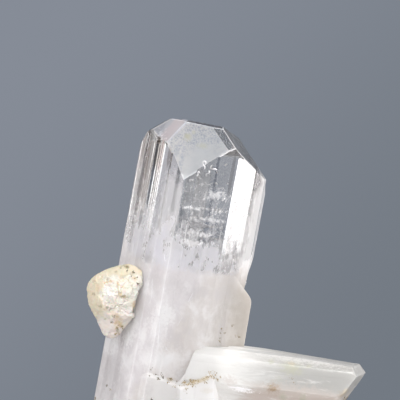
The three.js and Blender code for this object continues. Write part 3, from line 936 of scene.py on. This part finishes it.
# How much light goes through: little in the milk, and less along the threads, under the frost, at the
# right-hand edge and behind a veil on the left front face, which has a straight right-hand side.
def clearShare(tree, grains, tall, axes, masks, milk, frost):
    patches, mottle = grains["patches"], grains["mottle"]
    clearness = addNode(tree, "MapRange", {"Value": milk, "To Min": 1, "To Max": danburite["milkyClearness"]})
    threads = addNode(tree, "MapRange", {"Value": grains["threads"], "From Min": 0.56, "From Max": 0.68,
                                         "To Max": 0.45}, interpolation_type="SMOOTHSTEP")
    fading = softStep(tree, axes["Z"], 47.0, 40.0, [(mottle, 14.0)])
    threads = addNode(tree, "Math", {0: threads, 1: fading}, operation="MULTIPLY")
    hazes = [addNode(tree, "Math", {0: 1.0, 1: threads}, operation="SUBTRACT")]
    for mask, left in ((frost, 0.93), (masks["banded"], 0.6), (masks["worn"], 0.45)):
        hazes.append(addNode(tree, "MapRange", {"Value": mask, "To Min": 1.0, "To Max": left}))
    edge = addUp(tree, axes["X"], [(grains["streaks"], 2.4), (patches, 4.0)])
    edgeTop = addNode(tree, "MapRange", {"Value": axes["Z"], "From Min": 37.0, "From Max": 43.0,
                                         "To Max": -1.0}, interpolation_type="SMOOTHSTEP")
    edge = addNode(tree, "Math", {0: edge, 1: edgeTop}, operation="ADD")
    hazes.append(addNode(tree, "MapRange", {"Value": edge, "From Min": 10.0, "From Max": 12.2, "To Min": 1.0,
                                            "To Max": 0.2}, interpolation_type="SMOOTHSTEP"))
    sides = [addNode(tree, "MapRange", {"Value": axes["X"], "From Min": start, "From Max": end},
                     interpolation_type="SMOOTHSTEP") for start, end in ((-2.25, -2.5), (-6.0, -4.6))]
    veil = joinAll(tree, softStep(tree, axes["Z"], 46.0, 42.0, [(mottle, 6.0)], high=0.4), sides, "MULTIPLY")
    midY, halfY = danburite["hazeDepth"]
    for midX, midZ, halfX, halfZ, strength in hazeMarks:
        share = ovalShare(tree, tall, (midX, midY, midZ), (halfX, halfY, halfZ), 0, [(grains["flecks"], 4.0)],
                          (3.0, 2.2), strength)
        veil = addNode(tree, "Math", {0: veil, 1: share}, operation="MAXIMUM")
    hazes.append(addNode(tree, "Math", {0: 1.0, 1: veil}, operation="SUBTRACT"))
    return joinAll(tree, clearness, hazes, "MULTIPLY")


# Danburite, naturally grown: glassy faces with fine lines along the crystal, clear at the tip and
# clouded with inclusions to a milky foot, where light goes in, scatters and comes out soft.
def makeDanburite():
    material, tree, place = newMaterial("danburite, grown faces, clear to milky")
    tall, lying = localPlace(tree, place, tallCrystal), localPlace(tree, place, lyingCrystal)
    axes = addNode(tree, "SeparateXYZ", {"Vector": tall}).node.outputs
    lyingAxes = addNode(tree, "SeparateXYZ", {"Vector": lying}).node.outputs
    masks = {name: addNode(tree, "Attribute", attribute_name=name, output="Fac")
             for name in (*partNames, *tipMasks)}
    grains = growthGrains(tree, tall, lying)
    patches, streaks, etching = grains["patches"], grains["streaks"], grains["etching"]
    milk, foot = milkShares(tree, grains, axes, masks)
    colour = tallColour(tree, grains, tall, axes, milk, foot)
    lyingTone = lyingColour(tree, grains, lying, lyingAxes)
    colour = addNode(tree, "Mix", {0: masks["lying"], 6: colour, 7: lyingTone}, data_type="RGBA")
    # the stubs whiten from their left edge
    colour = layTone(tree, colour, danburite["stubTone"], axes["X"], -0.9, 2.0, [(patches, 6.0)],
                     masks=[masks["stub"]])
    stained = stainShare(tree, place)
    colour = addNode(tree, "Mix", {0: stained, 6: colour, 7: toLinear(danburite["stain"])}, data_type="RGBA")
    frost = addNode(tree, "MapRange", {"Value": grains["mottle"], "From Min": 0.4, "From Max": 0.62,
                                       "To Min": 0.72}, interpolation_type="SMOOTHSTEP")
    frost = addNode(tree, "Math", {0: frost, 1: masks["frosted"]}, operation="MULTIPLY")
    etched = etchedColour(tree, grains, tall)
    colour = addNode(tree, "Mix", {0: frost, 6: colour, 7: etched}, data_type="RGBA")
    # the left tip face is ash grey, with a band of blush across it
    colour = addNode(tree, "Mix", {0: masks["banded"], 6: colour, 7: toLinear(danburite["ash"])},
                     data_type="RGBA")
    offBand = addNode(tree, "VectorMath", {0: tall, 1: (0.843, 0, -0.538)}, operation="DOT_PRODUCT")
    offBand = addNode(tree, "Math", {0: offBand, 1: danburite["blushAt"]}, operation="ADD")
    offBand = addNode(tree, "Math", {0: offBand}, operation="ABSOLUTE")
    colour = layTone(tree, colour, danburite["blush"], offBand, 0.85, 0.35, masks=[masks["banded"]])
    dull = addUp(tree, danburite["gloss"],
                 [(frost, danburite["frostDullness"]), (milk, danburite["milkyDullness"])])
    rough = addNode(tree, "Math", {0: etching, 1: frost}, operation="MULTIPLY")
    rough = addNode(tree, "Math", {0: rough, 1: 4.0, 2: streaks}, operation="MULTIPLY_ADD")
    relief = addNode(tree, "Bump", {"Height": rough, "Strength": 0.15,
                                    "Distance": danburite["lineDepth"] * mm})
    surface = addNode(tree, "BsdfPrincipled", {
        "Base Color": colour, "Roughness": dull, "Normal": relief, "IOR": danburite["ior"],
        "Transmission Weight": clearShare(tree, grains, tall, axes, masks, milk, frost),
        "Subsurface Weight": 1.0, "Subsurface Scale": danburite["scatterDepth"] * mm,
        "Subsurface Radius": (1.0, 0.98, 0.97), "Coat Weight": 0.25, "Coat Roughness": 0.12, "Coat IOR": 1.5,
    }, subsurface_method="RANDOM_WALK")
    depths = addNode(tree, "VolumeAbsorption", {"Color": toLinear(danburite["depths"]),
                                                "Density": danburite["absorption"]})
    addNode(tree, "OutputMaterial", {"Surface": surface, "Volume": depths})
    return material


cluster.data.materials.clear()
cluster.data.materials.append(makeDanburite())


matrixFinish = {
    "cream": "#E4E1D6", "rim": "#DFD6BE", "pink": "#EEE7E1", "ochre": "#D2B98C", "olive": "#8D8462",
    "chalk": "#F7F4EE",
    "dull": 0.72, "scatterDepth": 0.5, "grainDepth": 0.06, "stainDepth": (-4, 4),
    # middle x and z, half width and height, tone, strength
    "stains": [
        (-1.65, 3.65, 0.5, 0.45, "ochre", 0.9), (-0.75, 3.35, 0.45, 0.35, "olive", 0.7),
        (1.8, 5.25, 0.75, 0.4, "olive", 0.9), (0.6, 4.4, 0.35, 0.3, "olive", 0.7),
        (-2.85, 1.1, 0.35, 0.35, "olive", 0.8), (-1.95, -0.75, 0.6, 0.3, "olive", 0.7),
        (-0.9, -0.85, 0.4, 0.3, "olive", 0.7), (1.7, 0.8, 0.7, 0.3, "olive", 0.8),
        (0.9, -3.4, 0.9, 1.6, "ochre", 0.8), (0.8, -4.1, 0.4, 0.7, "olive", 0.9),
        (-0.7, 1.4, 1.1, 1.4, "chalk", 0.8), (-1.05, -2.65, 0.35, 0.2, "olive", 0.8),
        (-0.2, -2.95, 0.3, 0.2, "olive", 0.8), (3.3, 3.4, 0.5, 0.5, "ochre", 0.6),
        (3.2, -0.6, 0.5, 0.7, "ochre", 0.6), (-2.3, 2.4, 0.8, 0.9, "ochre", 0.35),
    ],
}


# Feldspar and clay matrix, broken: dull and crumbly in the middle, worn smooth round it, with iron
# stain in its pits and dark grains on it.
def makeMatrix():
    material, tree, place = newMaterial("feldspar matrix, broken, iron stained")
    at = (Vector(matrixKnob["middle"]) + clusterShift) * mm
    place = addNode(tree, "Mapping", {"Vector": place, "Location": at, "Scale": (mm, mm, mm)},
                    vector_type="TEXTURE")
    height = addNode(tree, "SeparateXYZ", {"Vector": place}, output="Z")
    crumb = addNode(tree, "Attribute", attribute_name="crumb", output="Fac")
    pit = addNode(tree, "Attribute", attribute_name="pit", output="Fac")
    grains = addNode(tree, "TexNoise", {"Vector": place, "Scale": 1.3, "Detail": 6, "Roughness": 0.68})
    clouds = addNode(tree, "TexNoise", {"Vector": place, "Scale": 0.34, "Detail": 3})
    rim, cream = toLinear(matrixFinish["rim"]), toLinear(matrixFinish["cream"])
    colour = addNode(tree, "Mix", {0: crumb, 6: rim, 7: cream}, data_type="RGBA")
    colour = layTone(tree, colour, matrixFinish["pink"], height, 1.4, -0.6, [(clouds, 5.0)], high=0.85)
    colour = layTone(tree, colour, matrixFinish["ochre"], grains, 0.72, 0.95, [(pit, 0.35)], high=0.7)
    colour = paintMarks(tree, colour, matrixFinish["stains"], matrixFinish, place, matrixFinish["stainDepth"],
                        [(grains, 3.0)], (2.7, 1.7))
    relief = addNode(tree, "Bump", {"Height": grains, "Strength": 0.5,
                                    "Distance": matrixFinish["grainDepth"] * mm})
    surface = addNode(tree, "BsdfPrincipled", {
        "Base Color": colour, "Normal": relief, "Roughness": matrixFinish["dull"],
        "Subsurface Weight": 0.2, "Subsurface Scale": matrixFinish["scatterDepth"] * mm,
    }, subsurface_method="RANDOM_WALK")
    addNode(tree, "OutputMaterial", {"Surface": surface})
    return material


knob.data.materials.clear()
knob.data.materials.append(makeMatrix())


# Grains that lie on the crystals, and white marks where cracks have healed.
surfaceMarks = {
    "seed": 33, "darkSpread": 0.22,
    "nest": 6, "nestSpread": 0.4,  # grains in a nest, and its spread as a share of the whole one's
    # seen from one side: the way to look, points (across, up) in mm, spread, number, grain size, darkness
    "grains": [
        ("front", [(-12.4, 11.0), (-11.1, 10.7), (-9.3, 9.8), (-8.2, 9.1)], 0.28, 60, (0.05, 0.13), 0.75),
        ("front", [(-8.2, 9.1), (-6.6, 8.6)], 0.3, 22, (0.05, 0.12), 0.5),
        ("front", [(-6.5, 8.6), (-5.4, 9.0), (-3.3, 9.8), (-1.0, 10.5)], 0.36, 260, (0.05, 0.14), 0.2),
        ("front", [(-0.9, 18.0), (-0.8, 16.0), (-1.4, 15.3)], 0.2, 34, (0.05, 0.12), 0.45),
        ("front", [(1.1, 16.8), (1.6, 14.9)], 0.22, 18, (0.05, 0.12), 0.7),
        ("front", [(-18.0, 8.7), (-17.4, 7.4)], 0.2, 14, (0.05, 0.12), 0.8),
        ("front", [(-11.6, 6.8), (-11.0, 6.4)], 0.16, 16, (0.05, 0.12), 0.9),
        ("front", [(-15.7, 26.9), (-14.5, 26.3), (-13.6, 25.4)], 0.3, 46, (0.05, 0.12), 0.75),
        ("front", [(-13.4, 24.9), (-13.3, 22.6)], 0.25, 22, (0.05, 0.12), 0.7),
        ("front", [(-17.8, 18.6), (-16.4, 18.3)], 0.3, 16, (0.05, 0.12), 0.85),
        ("front", [(-15.8, 18.6), (-16.3, 15.9)], 0.3, 40, (0.06, 0.16), 0.3),
        ("front", [(6.6, 8.5), (7.0, 8.2)], 0.22, 30, (0.04, 0.08), 0.25),
        ("front", [(9.2, 9.8), (10.4, 9.2)], 0.35, 12, (0.04, 0.08), 0.5),
        ("back", [(-2.0, 6.0), (2.5, 9.5), (6.5, 9.0), (9.5, 7.0)], 0.5, 150, (0.05, 0.15), 0.3),
        ("back", [(10.5, 15.5), (8.0, 17.0), (4.0, 14.5)], 0.4, 60, (0.05, 0.13), 0.6),
        ("right", [(-9.0, 7.0), (-3.0, 5.5), (4.0, 6.5)], 0.5, 70, (0.05, 0.14), 0.4),
        ("left", [(9.0, 5.0), (3.0, 6.5), (-6.0, 5.0)], 0.5, 60, (0.05, 0.14), 0.5),
    ],
    # points (across, up) in mm, width
    "cracks": [
        ([(-5.1, 22.6), (-5.45, 21.9), (-5.85, 21.1)], 0.13),
        ([(-10.0, 19.0), (-10.1, 17.3), (-10.3, 15.2), (-10.45, 13.9)], 0.11),
        ([(-9.3, 15.0), (-9.1, 14.2), (-8.8, 13.9)], 0.14),
        ([(-9.9, 14.6), (-9.6, 13.5)], 0.1),
        ([(0.1, 8.55), (1.9, 8.35), (3.85, 8.05)], 0.2),
        ([(-7.9, 20.8), (-6.7, 18.9), (-7.4, 17.6)], 0.07),
        ([(-9.4, 28.5), (-9.2, 27.3)], 0.12),
        ([(-11.1, 24.6), (-11.2, 22.6), (-11.5, 20.9)], 0.08),
    ],
    "crackProud": 0.02, "crackSteps": 16, "rayStart": 40,
}


def sideRay(side, across, up):
    ways = {"front": (0, 1), "back": (0, -1), "left": (1, 0), "right": (-1, 0)}
    aheadX, aheadY = ways[side]
    away = surfaceMarks["rayStart"]
    start = Vector((across if aheadX == 0 else -away * aheadX, across if aheadY == 0 else -away * aheadY, up))
    return start * mm, Vector((aheadX, aheadY, 0))


def along(points, share):
    spots = [Vector(p) for p in points]
    place = share * (len(spots) - 1)
    first = min(int(place), len(spots) - 2)
    return spots[first].lerp(spots[first + 1], place - first)


def nearestHit(trees, start, way):
    hits = [tree.ray_cast(start, way) for tree in trees]
    hits = [hit for hit in hits if hit[0] is not None]
    return min(hits, key=lambda hit: hit[3]) if hits else None


def growGrains(trees):
    dice = random.Random(surfaceMarks["seed"])
    bm = bmesh.new()
    dark = bm.faces.layers.float.new("dark")
    tight = surfaceMarks["nestSpread"]
    for side, points, spread, number, (small, large), darkness in surfaceMarks["grains"]:
        nests = [along(points, dice.random()) + Vector((dice.gauss(0, spread), dice.gauss(0, spread)))
                 for _ in range(max(2, number // surfaceMarks["nest"]))]
        for _ in range(number):
            spot = dice.choice(nests) + Vector((dice.gauss(0, spread), dice.gauss(0, spread))) * tight
            hit = nearestHit(trees, *sideRay(side, spot.x, spot.y))
            size = small + (large - small) * dice.random() ** 3
            shade = min(1, max(0, dice.gauss(darkness, surfaceMarks["darkSpread"])))
            if hit is None:
                continue
            turn = Euler([dice.uniform(0, 6.28) for _ in range(3)]).to_matrix().to_4x4()
            shape = Matrix.Diagonal([size * mm * dice.uniform(0.6, 1.2) for _ in range(3)] + [1])
            made = bmesh.ops.create_icosphere(bm, subdivisions=1, radius=1,
                                              matrix=Matrix.Translation(hit[0]) @ turn @ shape)
            for vert in made["verts"]:
                vert.co += Vector([dice.gauss(0, 0.12) * size * mm for _ in range(3)])
            for face in {face for vert in made["verts"] for face in vert.link_faces}:
                face[dark] = shade
    return finishMesh(bm, "stainGrains")


def growCracks(trees):
    dice = random.Random(surfaceMarks["seed"] + 1)
    bm = bmesh.new()
    for points, width in surfaceMarks["cracks"]:
        steps = surfaceMarks["crackSteps"]
        rings = []
        for k in range(steps + 1):
            spot = along(points, k / steps) + Vector((dice.gauss(0, 0.03), dice.gauss(0, 0.02)))
            hit = nearestHit(trees, *sideRay("front", spot.x, spot.y))
            if hit is None:
                continue
            middle, normal = hit[0], hit[1]
            ahead = along(points, min(1, k / steps + 0.05)) - along(points, max(0, k / steps - 0.05))
            aside = Vector((ahead.y, 0, -ahead.x)).normalized()
            half = 0.5 * width * mm * (0.15 + math.sin(math.pi * k / steps) ** 0.5) * dice.uniform(0.6, 1.2)
            rise = normal * surfaceMarks["crackProud"] * mm
            rings.append([bm.verts.new(middle + offset) for offset in
                          (aside * half - rise, aside * half * 0.6 + rise, -aside * half * 0.6 + rise,
                           -aside * half - rise)])
        for before, after in zip(rings, rings[1:]):
            for i in range(4):
                bm.faces.new((before[i], before[(i + 1) % 4], after[(i + 1) % 4], after[i]))
        bm.faces.new(rings[0][::-1])
        bm.faces.new(rings[-1])
    bmesh.ops.recalc_face_normals(bm, faces=bm.faces)
    return finishMesh(bm, "healedCracks")


# Clay and limonite grains, dry: matt, from ochre to nearly black.
def makeStain():
    material, tree, place = newMaterial("clay and limonite grains, dry")
    dark = addNode(tree, "Attribute", attribute_name="dark", output="Fac")
    tone = addNode(tree, "TexNoise", {"Vector": place, "Scale": 2500, "Detail": 3})
    light = addNode(tree, "Mix", {0: tone, 6: toLinear("#D6C8AC"), 7: toLinear("#B49C70")}, data_type="RGBA")
    colour = addNode(tree, "Mix", {0: dark, 6: light, 7: toLinear("#5E5848")}, data_type="RGBA")
    surface = addNode(tree, "BsdfPrincipled", {"Base Color": colour, "Roughness": 0.85})
    addNode(tree, "OutputMaterial", {"Surface": surface})
    return material


surfaces = [BVHTree.FromObject(piece, bpy.context.evaluated_depsgraph_get()) for piece in (cluster, knob)]
stainGrains = growGrains(surfaces)
stainGrains.data.materials.append(makeStain())
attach(stainGrains, "root")
healedCracks = growCracks(surfaces)
healedCracks.data.materials.append(makeFlecks())
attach(healedCracks, "root")
print("surface marks made:", len(stainGrains.data.polygons), len(healedCracks.data.polygons), "faces")


studio = {
    "floorColour": "#B4B4B4",
    "floorRadius": 0.115, "floorMiddle": (-0.035, -0.045), "floorThick": 0.006, "floorRound": 0.002,
    "backdropLeft": "#868C97", "backdropRight": "#737A83",
    "room": "#6E5C54",  # what lies behind the camera, seen only in reflections
    "seenThrough": 0.8,  # how bright backdrop and room are in the crystal
    "lightsAim": Vector((0, 0, 0.03)),
    # degrees to the right of the camera and up, distance, width, height, radiance, colour
    "lights": {
        "keySoftbox": (15, 59, 0.8, 0.34, 0.34, 7.3, "#FFFFFF"),
        "leftSoftbox": (-44, 24, 1.0, 1.1, 0.8, 2.35, "#FBFCFF"),
        "rightSoftbox": (52, 30, 1.0, 0.9, 0.7, 2.6, "#FBFCFF"),
        "frontSoftbox": (-14, 8, 1.2, 0.8, 0.5, 3.0, "#FCFCFF"),
        "sideSoftbox": (97, 16, 0.8, 0.3, 0.4, 7.5, "#FFFFFF"),
        "rearLeftPanel": (-132, 8, 0.6, 0.28, 0.4, 1.35, "#FFFFFF"),
        "rearRightPanel": (139, -9, 0.5, 0.07, 0.16, 1.6, "#FFFFFF"),
        "rearGlow": (157, -7, 0.52, 0.2, 0.2, 0.4, "#F3EEF2"),
        "lowRightPanel": (80, -19, 0.4, 0.42, 0.11, 2.0, "#FFFFFF"),
    },
}
view = {
    "target": Vector((-4.046, -0.797, 36.02)) * mm,
    "elevation": 2.0, "distance": 1.2, "lens": 720, "sensor": 36,
}


def direction(aroundRight, up):
    turn, rise = math.radians(aroundRight), math.radians(up)
    return Vector((math.sin(turn) * math.cos(rise), -math.cos(turn) * math.cos(rise), math.sin(rise)))


# Paper, matt, with a little relief from its fibres.
def makePaper():
    material, tree, place = newMaterial("paper, matt")
    fibres = addNode(tree, "TexNoise", {"Vector": place, "Scale": 900, "Detail": 3})
    relief = addNode(tree, "Bump", {"Height": fibres, "Strength": 0.1, "Distance": 0.05 * mm})
    grey = toLinear(studio["floorColour"])
    surface = addNode(tree, "BsdfPrincipled", {"Base Color": grey, "Roughness": 0.9, "Normal": relief})
    addNode(tree, "OutputMaterial", {"Surface": surface})
    return material


def makeFloor():
    bm = bmesh.new()
    top, rim, thick = studio["floorRadius"], studio["floorRound"], studio["floorThick"]
    around = 160
    profile = [(top - rim, 0.0)]
    bends = (0.4, 0.8, 1.2, math.pi / 2)
    profile += [(top - rim + rim * math.sin(bend), rim * (math.cos(bend) - 1)) for bend in bends]
    profile += [(top, -thick), (0.01, -thick)]
    midX, midY = studio["floorMiddle"]
    turns = [2 * math.pi * k / around for k in range(around)]
    rings = [[bm.verts.new((midX + r * math.cos(turn), midY + r * math.sin(turn), z)) for turn in turns]
             for r, z in profile]
    bm.faces.new(rings[0])
    bm.faces.new(rings[-1][::-1])
    for inner, outer in zip(rings, rings[1:]):
        for k in range(around):
            after = (k + 1) % around
            bm.faces.new((outer[k], outer[after], inner[after], inner[k]))
    floor = finishMesh(bm, "floor")
    floor.data.materials.append(makePaper())


def makeLights():
    for name, (around, up, distance, width, height, radiance, colour) in studio["lights"].items():
        lamp = bpy.data.lights.new(name, "AREA")
        lamp.shape = "RECTANGLE"
        lamp.size, lamp.size_y = width, height
        lamp.energy = radiance * math.pi * width * height
        lamp.color = toLinear(colour)[:3]
        light = addObject(name, lamp)
        toLight = direction(around, up)
        light.location = studio["lightsAim"] + toLight * distance
        light.rotation_euler = toLight.to_track_quat("Z", "Y").to_euler()
        light.visible_camera = False


def makeWorld():
    world = bpy.data.worlds.new("studio")
    bpy.context.scene.world = world
    world.use_nodes = True
    tree = world.node_tree
    tree.nodes.clear()
    toward = addNode(tree, "TexCoord", output="Generated")
    ahead = addNode(tree, "SeparateXYZ", {"Vector": toward}, output="Y")
    share = addNode(tree, "MapRange", {"Value": ahead, "From Min": 0.64, "From Max": 0.8},
                    interpolation_type="SMOOTHSTEP")
    slope = addNode(tree, "VectorMath", {0: toward, 1: (1, 0, -1)}, operation="DOT_PRODUCT")
    left, right = toLinear(studio["backdropLeft"]), studio["backdropRight"]
    backdrop = layTone(tree, left, right, slope, -0.01, 0.085)
    # the room is only seen in the crystal: behind it the backdrop goes all the way round
    direct = addNode(tree, "LightPath", output="Is Camera Ray")
    share = addNode(tree, "Math", {0: share, 1: direct}, operation="MAXIMUM")
    colour = addNode(tree, "Mix", {0: share, 6: toLinear(studio["room"]), 7: backdrop}, data_type="RGBA")
    strength = addNode(tree, "MapRange", {"Value": direct, "To Min": studio["seenThrough"]})
    glow = addNode(tree, "Background", {"Color": colour, "Strength": strength})
    addNode(tree, "OutputWorld", {"Surface": glow})


def makeCamera():
    lens = bpy.data.cameras.new("camera")
    lens.lens, lens.sensor_width = view["lens"], view["sensor"]
    camera = addObject("camera", lens)
    back = direction(0, view["elevation"])
    camera.location = view["target"] + back * view["distance"]
    camera.rotation_euler = back.to_track_quat("Z", "Y").to_euler()
    bpy.context.scene.camera = camera


makeFloor()
makeLights()
makeWorld()
makeCamera()
bpy.context.scene.view_settings.view_transform = "Standard"
print("studio set")
